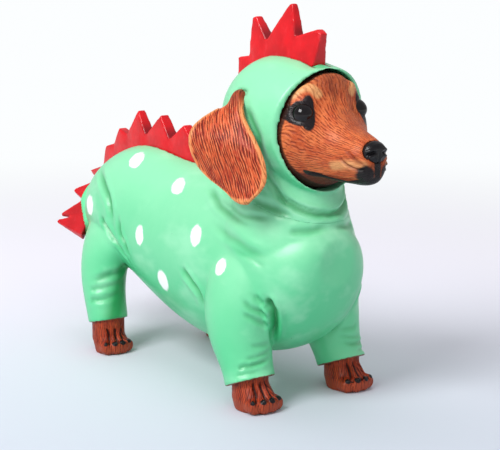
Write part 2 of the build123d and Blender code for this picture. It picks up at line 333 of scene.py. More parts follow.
def apply_modifiers(piece):
    """Replaces the mesh by what its modifiers make of it."""
    graph = bpy.context.evaluated_depsgraph_get()
    made = bpy.data.meshes.new_from_object(piece.evaluated_get(graph))
    piece.modifiers.clear()
    old = piece.data
    piece.data = made
    bpy.data.meshes.remove(old)


def soften(piece, grain, rounds, strength=0.5):
    """Remeshes a piece into faces of one size, in millimetres, and smooths it."""
    remesh = piece.modifiers.new("remesh", "REMESH")
    remesh.mode = "VOXEL"
    remesh.voxel_size = grain * MM
    smooth = piece.modifiers.new("smooth", "SMOOTH")
    smooth.factor = strength
    smooth.iterations = rounds
    apply_modifiers(piece)
    keep_largest(piece)
    piece.data.polygons.foreach_set("use_smooth", [True] * len(piece.data.polygons))


def keep_largest(piece):
    """Deletes the small closed bubbles that a remesh leaves inside a casting."""
    mesh = bmesh.new()
    mesh.from_mesh(piece.data)
    mesh.verts.ensure_lookup_table()
    unseen = set(mesh.verts)
    islands = []
    while unseen:
        todo = [unseen.pop()]
        island = list(todo)
        while todo:
            for edge in todo.pop().link_edges:
                for vert in edge.verts:
                    if vert in unseen:
                        unseen.discard(vert)
                        todo.append(vert)
                        island.append(vert)
        islands.append(island)
    islands.sort(key=len)
    for island in islands[:-1]:
        bmesh.ops.delete(mesh, geom=island, context="VERTS")
    mesh.to_mesh(piece.data)
    mesh.free()


def points(piece):
    """The piece's points in millimetres from the front feet."""
    co = np.empty(len(piece.data.vertices) * 3)
    piece.data.vertices.foreach_get("co", co)
    return from_feet(co.reshape(-1, 3))


def set_points(piece, places):
    piece.data.vertices.foreach_set("co", ((places + np.array(FEET)) * MM).ravel())
    piece.data.update()


def outwards(piece):
    """Each point's normal."""
    normals = np.empty(len(piece.data.vertices) * 3)
    piece.data.vertices.foreach_get("normal", normals)
    return normals.reshape(-1, 3)


def store(piece, name, values):
    """Stores a number for each point of the piece, for its material."""
    made = piece.data.attributes.new(name, "FLOAT", "POINT")
    made.data.foreach_set("value", np.clip(values, 0, 1).astype(np.float32))


def settle(piece, node, material):
    """A finished piece hides its CAD node, rides on the figurine and gets its glaze."""
    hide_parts(node)
    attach(piece, "root")
    piece.data.materials.clear()
    piece.data.materials.append(MATERIALS[material])
    print(piece.name, len(piece.data.polygons), "faces")


# %% [markdown]
# ## Folds
# Cloth that is pulled round a leg shows a valley with a soft bank on each side. A modelling tool is drawn
# along a line on the surface: each point near the line sinks by a bell curve, and the points a little
# further off rise. The line fades in and out at its ends. The tool also returns the valleys as a mask; on
# the suit the green is painted darker there as painted shade.
# %% Drawing a fold into the clay


def bell(values):
    """1 where the values are 0, falling off smoothly to both sides."""
    return np.exp(-values ** 2)


def ramp(values, start, end):
    """0 up to start, 1 from end on, straight in between; start may be the larger."""
    return np.clip((values - start) / (end - start), 0, 1)


def curve_through(stops, steps=8):
    """A smooth line through a few stops, as many short straight runs."""
    stops = np.array(stops, float)
    padded = np.vstack([2 * stops[0] - stops[1], stops, 2 * stops[-1] - stops[-2]])
    line = []
    for a, b, c, d in zip(padded, padded[1:], padded[2:], padded[3:]):
        for t in np.linspace(0, 1, steps, endpoint=False):
            square = (2 * a - 5 * b + 4 * c - d) * t ** 2
            cube = (3 * b - a - 3 * c + d) * t ** 3
            line.append(0.5 * (2 * b + (c - a) * t + square + cube))
    line.append(stops[-1])
    return np.array(line)


def reach(places, line):
    """Each point's distance from a line and how far along it lies, from 0 to 1."""
    nearest = np.full(len(places), 1e9)
    along = np.zeros(len(places))
    for number, (a, b) in enumerate(zip(line, line[1:])):
        run = b - a
        t = np.clip(((places - a) @ run) / max(run @ run, 1e-9), 0, 1)
        gap = np.linalg.norm(places - a - t[:, None] * run, axis=1)
        closer = gap < nearest
        nearest[closer] = gap[closer]
        along[closer] = (number + t[closer]) / (len(line) - 1)
    return nearest, along


def on_surface(places, line):
    """The line moved to the piece's nearest points, then smoothed, because those points lie in a zigzag."""
    found = np.array([places[np.argmin(((places - point) ** 2).sum(axis=1))] for point in line])
    for _ in range(3):
        found[1:-1] = (found[:-2] + 2 * found[1:-1] + found[2:]) / 4
    return found


def draw_fold(places, normals, stops, depth, width, bank=0.35):
    """Presses a valley (a ridge, below zero) with banks along the stops into the points; returns its mask."""
    gap, along = reach(places, on_surface(places, curve_through(stops)))
    x = gap / width
    fade = np.clip(np.sin(np.pi * np.clip(along, 0.02, 0.98)) * 1.6, 0, 1)
    valley = bell(x)
    places -= normals * (depth * fade * (valley - bank * bell((x - 2.1) / 0.9)))[:, None]
    return fade * valley


def touch(places, stops, width):
    """A mask that is 1 along a line of stops and falls off over a width."""
    return bell(reach(places, curve_through(stops))[0] / width)


def mirrored(stops):
    return [(-x, y, z) for x, y, z in stops]


def bulge(places, normals, centre, radii, height):
    """Raises (or, below zero, dents) an oval patch of the surface."""
    x = np.linalg.norm((places - np.array(centre)) / np.array(radii), axis=1)
    places += normals * (height * bell(x))[:, None]


# %% [markdown]
# ## The suit and its hood
# The suit is one wet, stretched skin: hood, neck and body run into each other, and the joint between the two
# castings is filled with slip and wiped flat. So both are sculpted as one skin, and only then cut along the
# neck joint into the two castings.
# %% Sculpting the skin
skin = cad_copy("skin", ["suit_body", "hood"])
soften(skin, 0.62, 7)
skin_points = points(skin)
skin_normals = outwards(skin)
skin_start = skin_points.copy()

SIDE_FOLDS = [
    # thigh: stops, depth, width
    ([(-14, 104, 66), (-18.8, 95, 62.7), (-20.6, 88.5, 58), (-21.4, 86.3, 55), (-21.8, 84, 49.5)], 1.1, 1.2),
    ([(-21.4, 91.5, 51), (-21.4, 90.5, 48.8), (-21.2, 86.9, 45.6), (-20.7, 82.7, 41.9), (-19, 76.9, 35.7)],
     1.6, 1.0),
    ([(-21.8, 80.2, 52), (-21.6, 78.8, 45.7), (-21.5, 76.3, 42.4), (-20, 75, 37.5)], 1.4, 0.9),
    ([(-26.5, 91.4, 27), (-22.2, 87.8, 29), (-17.3, 87.2, 30.3), (-14.4, 84, 32.5)], 0.8, 1.2),
    ([(-27, 92, 23.3), (-26.5, 90.8, 24.1), (-23.2, 87.7, 25), (-17.5, 86.9, 25.6)], 0.5, 0.9),
    ([(-28, 92, 19.4), (-27.1, 90.7, 20.1), (-24.2, 87.6, 20.6), (-18, 86.2, 21.4)], 0.6, 0.9),
    # belly, behind the elbow
    ([(-22, 39, 41), (-22.5, 36.4, 38.9), (-22.4, 32.6, 36), (-21.7, 29.7, 32.8), (-20.3, 29.4, 28)],
     1.1, 1.1),
    # armpit and elbow
    ([(-19.2, -3.4, 37.8), (-18.4, -4.3, 36), (-16.8, -4.5, 32.7), (-14.7, -2.2, 27.5), (-12.1, 2.7, 20.5)],
     2.2, 1.1),
    ([(-24.4, 2.2, 37.2), (-22.4, 0.9, 34.2), (-19.5, -0.6, 32.7), (-16.2, -3.3, 30)], 0.6, 0.8),
    ([(-24.6, 2.2, 32.6), (-21.1, -0.1, 30.3), (-15.8, -0.8, 27.2)], 0.55, 0.8),
    ([(-21.8, 0.6, 38.6), (-19.7, -1.8, 36.2), (-17.6, -3.4, 33.2)], 0.6, 0.8),
    # sleeve
    ([(-22.6, 0.2, 22), (-20, -0.5, 21.4), (-14.6, 1, 21.8)], 0.35, 0.7),
    ([(-24.6, 1.2, 17.2), (-20.5, -1, 18), (-14.4, 0.4, 19.2)], 0.4, 0.6),
    ([(-26.4, 2.6, 14.4), (-25.1, 1.1, 15), (-21.2, -1, 15.6), (-15, 0, 17)], 0.7, 0.7),
    ([(-27, 3, 12), (-24.5, -0.2, 13.3), (-21, -1.8, 13.6)], 0.4, 0.7),
    # shoulder
    ([(-12.4, 36, 67.6), (-14.3, 31.2, 65.6), (-15.4, 24.9, 62.4), (-18.3, 14.5, 60.9), (-18.9, 5, 59.6)],
     0.9, 1.1),
    ([(-14, 29, 65), (-17.8, 13.3, 62.8), (-18, 5.9, 62.5), (-15.4, -1.4, 63.3)], 0.7, 0.9),
    ([(-19, 25, 57.5), (-20.2, 16.4, 55.3), (-20.9, 9.1, 54.3), (-20.4, 2.7, 52), (-18, -3.4, 50)], 0.6, 1.3),
    ([(-21.6, 12, 52.8), (-20.5, 2.4, 49.7), (-18.6, -3, 47.4)], 0.35, 0.9),
    # chest
    ([(-13, -6.6, 58.8), (-10.8, -9, 59.2), (-7.1, -11.2, 59.4), (-1, -12.6, 59.8)], 0.7, 1.0),
]
# How much shade is painted into the green: in the folds, behind the ears, in the armpits and on the front of
# the hind legs.
painted_shade = np.zeros(len(skin_points))
for stops, depth, width in SIDE_FOLDS:
    for line in (stops, mirrored(stops)):
        valley = draw_fold(skin_points, skin_normals, line, depth, width)
        painted_shade = np.maximum(painted_shade, 0.7 * min(depth, 1.4) * valley)

NECK_ROLL = [(-16.5, 7, 81), (-14.5, 1.9, 76), (-13.1, -2.6, 69.8), (-11, -5.9, 67.3), (-8, -8.8, 65.3),
             (-3.1, -11.2, 64)]
NECK_UPPER = [(-12.6, -3.2, 71.4), (-11.2, -5.2, 69), (-9.6, -7.4, 67.4), (-6, -9.7, 66.1), (-0.6, -11, 65.4)]
NECK_LOWER = [(-17.2, 8, 69), (-16.5, 4.5, 67.1), (-15.4, 0.7, 66.4), (-13.7, -3.3, 65.3), (-11, -7, 63.6)]
NECK_FOLDS = [
    (NECK_ROLL + mirrored(NECK_ROLL)[::-1], 1.3, 0.95),
    (NECK_UPPER, 0.45, 0.6),
    (NECK_LOWER, 0.7, 1.3),
    (mirrored(NECK_LOWER), 0.7, 1.3),
]
for stops, depth, width in NECK_FOLDS:
    valley = draw_fold(skin_points, skin_normals, stops, depth, width)
    painted_shade = np.maximum(painted_shade, min(depth, 0.8) * valley)

# %% [markdown]
# ## Full chest, shoulders and thighs
# The body pushes the suit out at the chest, the shoulders and the thighs. Shade is painted into the green
# behind the ears, in the armpits and on the front of the hind legs.
# %% Bulges and painted shade
BULGES = [
    # centre, radii and height on the dog's left
    ((6, -14, 52), (6, 4, 5), 0.5),
    ((21, 6, 48), (4, 8, 7), 0.6),
    ((20, 95, 48), (4, 7, 8), 0.7),
    ((0, -6, 111), (4.5, 3.5, 4), -0.7),
]
BEHIND_EAR = [(19.3, 8, 98), (19.5, 4.8, 95), (18.7, 0.6, 89.5), (16.4, 0.3, 81.4), (15, 2.3, 73)]
THIGH_SHADE = [(15, 87.5, 32), (17, 87, 25), (19, 86.5, 20), (21.6, 85, 14)]
ARMPIT = [(18.6, -4.1, 36.6), (17.2, -4.6, 33.4), (15.6, -3.4, 29.5)]
for side, on_side in ((-1, mirrored), (1, list)):
    for (x, y, z), radii, height in BULGES:
        bulge(skin_points, skin_normals, (side * x, y, z), radii, height)
    valley = draw_fold(skin_points, skin_normals, on_side(BEHIND_EAR), 0.5, 1.3)
    painted_shade = np.maximum(painted_shade, 0.8 * valley)
    painted_shade = np.maximum(painted_shade, 1.2 * touch(skin_points, on_side(THIGH_SHADE), 3.6))
    painted_shade = np.maximum(painted_shade, 1.3 * touch(skin_points, on_side(ARMPIT), 1.3))
print("deepest fold", round(np.linalg.norm(skin_points - skin_start, axis=1).max(), 2), "mm")
set_points(skin, skin_points)
store(skin, "painted_shade", painted_shade)
# Painted light: the green is painted lighter where the skin faces up, and a little lighter higher up.
store(skin, "painted_top_light", 0.45 + 0.6 * skin_normals[:, 2] + 0.004 * (skin_points[:, 2] - 50))

# %% [markdown]
# ## Where the brown wash stays
# After the last firing a thin brown wash is wiped off, and it stays where two castings meet: at the ends of
# the sleeves and along the feet of the crests.
# %% Hems and crest joints
HEMS = [
    # back and up of each sleeve's end, and its tilt
    (-19.6, 4.5, 8.6, 22), (19.6, 4.5, 8.6, 22), (-20.5, 91, 11.4, 14), (25, 84, 11.4, 14),
]
SLEEVE_REACH = 11
CREST_HALF_WIDTH = 3.2
hem = np.zeros(len(skin_points))
for x, y, z, tilt in HEMS:
    ahead, above = skin_points[:, 1] - y, skin_points[:, 2] - z
    over = above * math.cos(math.radians(tilt)) + ahead * math.sin(math.radians(tilt))
    around = np.hypot(skin_points[:, 0] - x, ahead) < SLEEVE_REACH
    hem = np.maximum(hem, around * np.clip(1.3 - over / 0.8, 0, 1))
store(skin, "hem", hem)
seam = bell((np.abs(skin_points[:, 0]) - CREST_HALF_WIDTH) / 0.9)
on_crown = (skin_points[:, 2] > 100) & (skin_points[:, 1] > -8)
on_back = (skin_points[:, 1] > 43) & (skin_points[:, 2] > 50)
store(skin, "joint_line", seam * (on_crown | on_back))
print("skin:", len(skin_points), "points")

# %% [markdown]
# ## Cutting the skin at the neck joint
# `bisect_plane` cuts along the joint and `holes_fill` closes each half, so both castings are solid again.
# %% Two castings from one skin
JOINT_SPOT = spot(0, 9.3, 67.5)
JOINT_NORMAL = Vector((0, -math.sin(math.radians(16)), math.cos(math.radians(16))))


def half(name, upper):
    """One side of the skin, closed at the joint."""
    mesh = bmesh.new()
    mesh.from_mesh(skin.data)
    geometry = mesh.verts[:] + mesh.edges[:] + mesh.faces[:]
    bmesh.ops.bisect_plane(mesh, geom=geometry, plane_co=JOINT_SPOT, plane_no=JOINT_NORMAL,
                           clear_inner=upper, clear_outer=not upper)
    bmesh.ops.holes_fill(mesh, edges=[e for e in mesh.edges if e.is_boundary], sides=0)
    bmesh.ops.triangulate(mesh, faces=[f for f in mesh.faces if len(f.verts) > 4])
    data = bpy.data.meshes.new(name)
    mesh.to_mesh(data)
    mesh.free()
    data.polygons.foreach_set("use_smooth", [True] * len(data.polygons))
    piece = bpy.data.objects.new(name, data)
    bpy.context.scene.collection.objects.link(piece)
    return piece


suit = half("suit_skin", False)
hood = half("hood_skin", True)
bpy.data.objects.remove(skin)

# %% [markdown]
# ## Green glaze with white dots
# The green is one pale glaze, painted lighter on upward faces as painted light and darker in the folds as
# painted shade. The dots are brushed on afterwards with one press of a soft brush, so their rims wander. A
# thin brown wash stays in the joints with the crests and at the hems.
# %% The green glaze
DOTS = [
    # centre, radii and turn of each dot; the flanks differ, as they do when dots are set by eye
    ((-11.8, 83.1, 71.6), (6, 4.0, 2.2), (0.42, 0, 0)),
    ((-14.0, 53.1, 66.1), (6, 3.9, 2.3), (0.38, 0, 0)),
    ((-19.8, 102.4, 53.2), (6, 3.9, 3.7), (0, 0, 0)),
    ((-21.7, 66.4, 47.6), (5, 2.4, 3.5), (0, 0, 0)),
    ((-21.1, 32.3, 52.7), (5, 2.7, 3.6), (-0.15, 0, 0)),
    ((-20.9, 52.8, 33.6), (5, 3.3, 3.7), (0.3, 0, 0)),
    ((-23.6, 14.6, 45.5), (5, 2.9, 2.6), (0, 0, 0)),
    ((12.4, 76.0, 71.0), (6, 3.9, 2.8), (0.4, 0, 0)),
    ((15.5, 46.0, 65.0), (6, 3.6, 3.0), (0.5, 0, 0)),
    ((20.4, 98.0, 55.0), (5, 3.1, 3.6), (0, 0, 0)),
    ((21.9, 62.0, 45.0), (5, 2.8, 3.4), (0, 0, 0)),
    ((21.5, 30.0, 50.5), (5, 2.9, 3.5), (0.2, 0, 0)),
    ((19.9, 48.0, 31.0), (5, 3.3, 3.6), (-0.2, 0, 0)),
    ((24.0, 9.0, 43.0), (5, 2.8, 2.9), (0, 0, 0)),
]


def dots_mask(place):
    """1 inside the brushed dots."""
    wobble = (place.noise(0.4, 3.0) - 0.5) * 0.5
    mask = None
    for centre, radii, turn in DOTS:
        dot = (place.oval(centre, radii, turn) + wobble).step(1.16, 0.86)
        mask = dot if mask is None else mask.most(dot)
    return mask


def make_green(name, dotted):
    place = start(name)
    cloudy = place.noise(0.05, 3.0) - 0.5
    # Painted light: lighter green on upward faces.
    paint = (place.stored("painted_top_light") + cloudy * 0.5).step(0.0, 1.0).mix(tone(78, 202, 138), tone(134, 218, 168))
    brushed = place.noise(0.09, 3.0, (1, 0.5, 1)).step(0.5, 0.75)
    paint = (brushed * 0.35).mix(paint, tone(176, 238, 200))
    # Painted shade: darker green in the folds, armpits, behind the ears and on the front of the hind legs.
    paint = (place.stored("painted_shade") * 0.9).mix(paint, tone(26, 138, 70))
    speck = place.noise(1.1, 1.0).step(0.81, 0.84)
    paint = speck.mix(paint, tone(70, 120, 84))
    height = place.noise(0.3, 3.0)
    if dotted:
        dots = dots_mask(place)
        paint = dots.mix(paint, tone(250, 253, 250))
        height = height + dots * 0.5
    wander = (place.noise(0.8, 3.0) - 0.5) * 0.9
    paint = ((place.stored("joint_line") + wander).step(0.5, 0.85) * 0.85).mix(paint, tone(100, 66, 44))
    paint = (place.stored("hem") + wander * 0.6).step(0.6, 0.95).mix(paint, tone(118, 62, 36))
    rough = place.noise(0.25, 2.0) * 0.12 + 0.36
    close(place, paint, rough, height, relief=0.1, coat=0.3, coat_roughness=0.24)


make_green("green_glaze_dotted", True)
make_green("green_glaze_plain", False)
settle(suit, "suit_body", "green_glaze_dotted")
settle(hood, "hood", "green_glaze_plain")

# %% [markdown]
# ## Red crests
# The crests are thick cast fins with rounded teeth. The head crest's front tooth spreads a little where it
# meets the hood. The glossy red is rubbed paler in places, and the front facets of the teeth are painted
# darker as painted shade.
# %% The three crests
NOTCHES = {
    # back and up of each notch, and how far its shade reaches
    "head_crest": [(4.2, 119.6, 3.4), (19.2, 117.7, 4.2), (28.6, 112.2, 3.0)],
    "back_crest": [(60.7, 78.4, 2.6), (76.3, 79.2, 3.6), (92.1, 79.2, 3.6), (105.8, 78, 3.0),
                   (115.6, 73.6, 2.4), (123.6, 65, 2.6), (45, 75, 3)],
    "tail_crest": [],
}


def make_red():
    place = start("red_glaze")
    patchy = place.noise(0.16, 3.0).step(0.3, 0.7)
    paint = patchy.mix(tone(220, 8, 22), tone(198, 4, 16))
    rubbed = place.noise(0.5, 4.0, (1, 1, 0.6)).step(0.58, 0.75)
    paint = (rubbed * 0.3).mix(paint, tone(228, 60, 68))
    # Painted shade: dark maroon on the front facets of the teeth.
    paint = (place.stored("painted_facet_shade") * 0.85).mix(paint, tone(112, 0, 14))
    rough = place.noise(0.3, 2.0) * 0.16 + 0.26
    close(place, paint, rough, place.noise(0.45, 3.0), relief=0.12, coat=0.3, coat_roughness=0.14,
          specular=0.3)


make_red()
SMOOTHING = {"head_crest": 16, "back_crest": 16, "tail_crest": 30}
for crest_name, notches in NOTCHES.items():
    crest = cad_copy(crest_name + "_cast", [crest_name])
    soften(crest, 0.34, SMOOTHING[crest_name])
    at = points(crest)
    faces_front = np.clip(-outwards(crest)[:, 1] * 1.6, 0, 1)
    # Painted shade: the front-facing facets behind each notch, and every front-facing facet of the tail
    # crest, are painted dark.
    painted_facet_shade = 0.7 * faces_front * (crest_name == "tail_crest")
    for y, z, size in notches:
        near = bell(np.hypot(at[:, 1] - y, at[:, 2] - z) / size)
        behind = bell(np.hypot(at[:, 1] - y - 1.4, at[:, 2] - z - 0.6) / size)
        at[:, 0] *= 1 - 0.12 * near
        painted_facet_shade = np.maximum(painted_facet_shade, np.clip(behind * 1.3 - 0.2, 0, 1) * faces_front)
    if crest_name == "head_crest":
        foot = ramp(at[:, 1], 2, -4) * ramp(at[:, 2], 116, 111)
        at[:, 0] *= 1 + 0.25 * foot
        at[:, 2] -= 0.8 * foot
    set_points(crest, at)
    store(crest, "painted_facet_shade", painted_facet_shade)
    settle(crest, crest_name, "red_glaze")

# %% [markdown]
# ## The tail
# The tail hangs against the right thigh. Its lower end, where it lies against the thigh, is painted dark
# olive as painted shade.
# %% The tail


def make_tail_green():
    place = start("tail_green")
    x, y, z = place.split()
    # Painted shade: darker olive below the tail's middle, where it lies against the thigh.
    tip = (z + (place.noise(0.5, 2.0) - 0.5) * 3).step(46, 41)
    paint = tip.mix(tone(104, 218, 154), tone(58, 104, 52))
    close(place, paint, 0.36, place.noise(0.35, 3.0), relief=0.09, coat=0.3)


make_tail_green()
tail = cad_copy("tail_cast", ["tail"])
soften(tail, 0.5, 4)
settle(tail, "tail", "tail_green")

# %% [markdown]
# ## Carved fur
# The coat is cut with a fine gouge, stroke beside stroke along the lie of the hair. A pattern that follows
# the hair needs its own coordinates, so each furry piece stores, for every point, how far it lies along the
# hair and across it. A comb across the hair gives the strokes, and noise drawn out along it bends and
# breaks them.
# %% Storing the lie of the hair


def store_flow(piece, along, across):
    """Stores millimetres along and across the hair as a vector attribute."""
    flow = piece.data.attributes.new("flow", "FLOAT_VECTOR", "POINT")
    values = np.stack([along, across, np.zeros(len(along))], axis=1)
    flow.data.foreach_set("vector", values.astype(np.float32).ravel())


def make_coat(name, browns, length, pitch, extras=None, relief=0.16, depth=0.85, ridge=0.5):
    """A coat of four browns: pale ridges, a light and a middle tone in patches, a dark wash in the cuts."""
    pale, light, middle, dark = browns
    place = start(name)
    flow = place.node("Attribute", {"attribute_name": "flow"}, {}, out="Vector")
    across = flow.split()[1]
    bend = flow.noise(1.0, 3.0, (0.35 / length, 0.16 / pitch, 1)) * 3.2
    comb = (across * (1 / pitch) + bend).comb()
    broken = flow.noise(1.0, 2.0, (1 / length, 0.9 / pitch, 1))
    fine = flow.noise(1.0, 2.0, (1.6 / length, 2.2 / pitch, 1))
    cut = comb.step(0.62, 0.12) * broken.step(0.40, 0.56)
    locks = flow.noise(1.0, 2.0, (0.4 / length, 0.22 / pitch, 1)).step(0.35, 0.65)
    paint = locks.mix(middle, light)
    paint = (comb.step(0.5, 0.95) * fine.step(0.40, 0.6) * ridge).mix(paint, pale)
    paint = (cut * depth).mix(paint, dark)
    paint = (fine.step(0.44, 0.30) * 0.5).mix(paint, dark)
    height = 1 - cut + fine * 0.5
    rough = 0.56 - fine * 0.1
    if extras:
        paint, rough = extras(place, paint, rough, cut)
    close(place, paint, rough, height, relief=relief, coat=0.06, specular=0.28)


# %% [markdown]
# ## The face
# The face is the part that everyone looks at. Its brows, muzzle folds and mouth are pressed into the clay,
# one side after the other. Each stroke also marks its paint: black round the eyes and on the lips, tan on
# the brows and beside the nose, brown in the folds.
# %% Eyes and brows in the clay
EYES = {-1: np.array((-10.9, -11.0, 96.6)), 1: np.array((10.7, -11.1, 96.7))}
NOSE_TIP = np.array((0.0, -32.5, 86.0))
face = cad_copy("face_carving", ["dog_head", "right_eye", "left_eye"])
soften(face, 0.32, 5)
at = points(face)
out = outwards(face)
masks = {name: np.zeros(len(at)) for name in ("dark", "tan", "line")}
BROW = [(14.2, -6.6, 99.2), (12.3, -8.3, 102.3), (10.3, -9.8, 104), (8.4, -11.6, 104.4), (6.8, -13.2, 102.8)]


def mark(name, values):
    """Adds paint to one of the face's masks."""
    masks[name] = np.maximum(masks[name], values)


def carve_eye(side, on_side):
    """Hollows the corner beside the bridge, fills the socket, raises the brow and marks their paint."""
    gap = np.linalg.norm(at - EYES[side], axis=1)
    bulge(at, out, (side * 7.4, -15.0, 97.6), (3.2, 3.6, 4.2), -1.2)
    at[:] += (EYES[side] - at) * (0.2 * ramp(gap, 4.4, 3.4))[:, None]
    across, up = at[:, 0] * side, at[:, 2]
    inner_corner = np.hypot((across - 10.9 - 0.18 * (97.2 - up)) / 2.1, (up - 97.2) / 5.6)
    outer_corner = np.hypot((across - 13.4) / 2.6, (up - 96.3) / 3.2)
    mark("dark", ramp(gap, 5.0, 4.1))
    for corner in (inner_corner, outer_corner):
        mark("dark", ramp(corner, 1.15, 0.8) * (gap < 9))
    mark("tan", touch(at, on_side(BROW[1:]), 1.8))
    draw_fold(at, out, on_side(BROW), -0.55, 1.4)


# %% [markdown]
# ## Muzzle and mouth
# Two folds run from the nose to the cheek. The mouth is a thin black line that rises to a thicker corner, and
# below it the jaw is dark red-brown.
# %% Carving the muzzle
WRINKLES = [
    [(7.4, -24.0, 84.6), (6.9, -26.5, 82.9), (6.1, -28.9, 81.8), (5.1, -31.4, 81.2), (4.0, -32.8, 81.6)],
    [(6.8, -26.6, 86.8), (6.2, -29.4, 84.7), (5.3, -31.6, 83.2), (4.0, -33.1, 82.4)],
]
MUZZLE_TAN = [(7.4, -22, 81.5), (6.4, -28, 82.4), (4.6, -32, 82.4)]
MOUTH = [(9.4, -11.2, 78.4), (8.6, -13.2, 78.0), (7.6, -15.6, 77.3), (6.9, -18.2, 76.8), (6.3, -21.0, 76.5),
         (5.6, -24.5, 76.4), (4.8, -28.0, 77.0), (3.8, -30.8, 77.9)]
PHILTRUM = [(0, -33.4, 83.6), (0, -33.6, 81.0), (0, -33.0, 78.0)]
FOREHEAD = [(0, -9.5, 106.5), (0, -12.5, 103), (0, -17, 98)]
FACE_FRONT = -34.3


def mouth_height():
    """How high the mouth is beside each point of the face."""
    return np.interp(-at[:, 1], [-y for x, y, z in MOUTH], [z for x, y, z in MOUTH])


def carve_muzzle(side, on_side):
    """Presses the muzzle's folds and the mouth, and marks their paint."""
    for stops in WRINKLES:
        mark("line", draw_fold(at, out, on_side(stops), 0.55, 0.42, bank=0.5))
    bulge(at, out, (side * 5.6, -27.0, 80.0), (2.5, 5.0, 2.4), 0.5)
    mark("tan", 0.8 * touch(at, on_side(MUZZLE_TAN), 2.2))
    draw_fold(at, out, on_side(MOUTH), 0.8, 0.6)
    thick = 0.55 + 0.5 * bell((at[:, 1] + 12.5) / 2.2)
    on_this_side = ramp(at[:, 1], -10.6, -11.4) * (at[:, 0] * side > 2)
    mark("dark", 1.2 * on_this_side * bell((at[:, 2] - mouth_height()) / thick))
    front_lip = np.linalg.norm((at - (side * 3.6, -32.2, 79.6)) / (2.9, 4.0, 3.4), axis=1)
    mark("dark", np.exp(-front_lip ** 3))


for side, on_side in ((-1, mirrored), (1, list)):
    carve_eye(side, on_side)
    carve_muzzle(side, on_side)
draw_fold(at, out, FOREHEAD, 0.45, 1.4)
bulge(at, out, (0, -29, 76.5), (4.5, 5.5, 2.5), 0.9)
mark("dark", touch(at, PHILTRUM, 1.7))
lip_height = 76.3 + 0.2 * np.clip(-22.4 - at[:, 1], 0, 20)
mark("dark", ramp(lip_height - at[:, 2], -0.3, 0.3) * ramp(at[:, 1], -19, -22))
jaw = ramp(mouth_height() - at[:, 2], 0, 0.7) * ramp(at[:, 1], -22, -19)
at[:, 1] = np.maximum(at[:, 1], FACE_FRONT)
set_points(face, at)
print("face:", len(at), "points")

# %% [markdown]
# ## Shade and hair
# The face is dark where it goes into the hood. The hair runs from the nose backwards, as it does on a real
# dachshund, so its length is measured from the nose's tip and its width round the muzzle.
# %% Masks and the lie of the hair
hood_rim = -11.0 + at[:, 0] ** 2 / 72
shade_width = 0.3 + 0.7 * bell((at[:, 2] - 96.5) / 4) + 0.4 * ramp(at[:, 2], 81, 77)
shade = (at[:, 1] - hood_rim + shade_width) / 0.9
masks.update(jaw=jaw, shade=shade)
for name, values in masks.items():
    store(face, name, values)
away = at - NOSE_TIP
round_muzzle = np.arctan2(away[:, 0], away[:, 2] + 0.15 * away[:, 1] + 6)
store_flow(face, np.linalg.norm(away, axis=1), round_muzzle * 13)
print("masks of the face:", ", ".join(masks))

# %% Painting the face
def face_paint(place, paint, rough, cut):
    """Tan brows and muzzle, a brown forehead, dark eye rims, lips and mouth, and shade inside the hood."""
    x, y, z = place.split()
    middle = place.node("CombineXYZ", {}, {0: x.size(), 1: y, 2: z})
    wander = (place.noise(0.9, 3.0) - 0.5) * 0.5
    brown_top = (middle.oval((0, -10, 106), (8, 7, 8)) + wander).step(1.3, 0.5)
    paint = (brown_top * 0.5).mix(paint, tone(122, 58, 36))
    bridge = (middle.oval((0, -22, 94), (4.2, 11, 6)) + wander).step(1.2, 0.5)
    paint = (bridge * 0.45).mix(paint, tone(158, 78, 46))
    warm = (place.stored("tan") + wander * 0.5).step(0.25, 0.8)
    paint = (warm * (1 - cut * 0.4)).mix(paint, tone(220, 156, 100))
    paint = ((place.stored("jaw") + wander * 0.4).step(0.2, 0.8) * 0.9).mix(paint, tone(88, 24, 20))
    paint = (place.stored("line") * 0.75).mix(paint, tone(120, 40, 24))
    black = (place.stored("dark") + wander * 0.6).step(0.30, 0.72)
    paint = black.mix(paint, tone(24, 16, 18))
    paint = ((place.stored("shade") + wander * 0.4).step(0.1, 0.9) * 0.92).mix(paint, tone(44, 18, 12))
    return paint, rough - black * 0.14


FACE_BROWNS = (tone(228, 142, 92), tone(212, 108, 56), tone(186, 78, 34), tone(120, 36, 12))
make_coat("face_coat", FACE_BROWNS, 2.2, 0.6, face_paint, depth=0.7, ridge=0.35)
settle(face, "dog_head", "face_coat")

# %% [markdown]
# ## Eyes and nose
# The eyes are balls, black as glass, pressed a little forward at the pupil. The nose is a damp leather pad
# with two comma-shaped nostrils and a notch that runs down to the lip.
# %% Eyes
EYE_RADIUS = 3.5
GAZE_ANGLE = math.radians(34)


def make_eye_glass():
    place = start("eye_glass")
    cloudy = place.noise(0.4, 2.0)
    paint = cloudy.step(0.3, 0.7).mix(tone(8, 7, 9), tone(20, 15, 16))
    close(place, paint, cloudy * 0.04 + 0.06, coat=0.25, coat_roughness=0.05, specular=0.25)


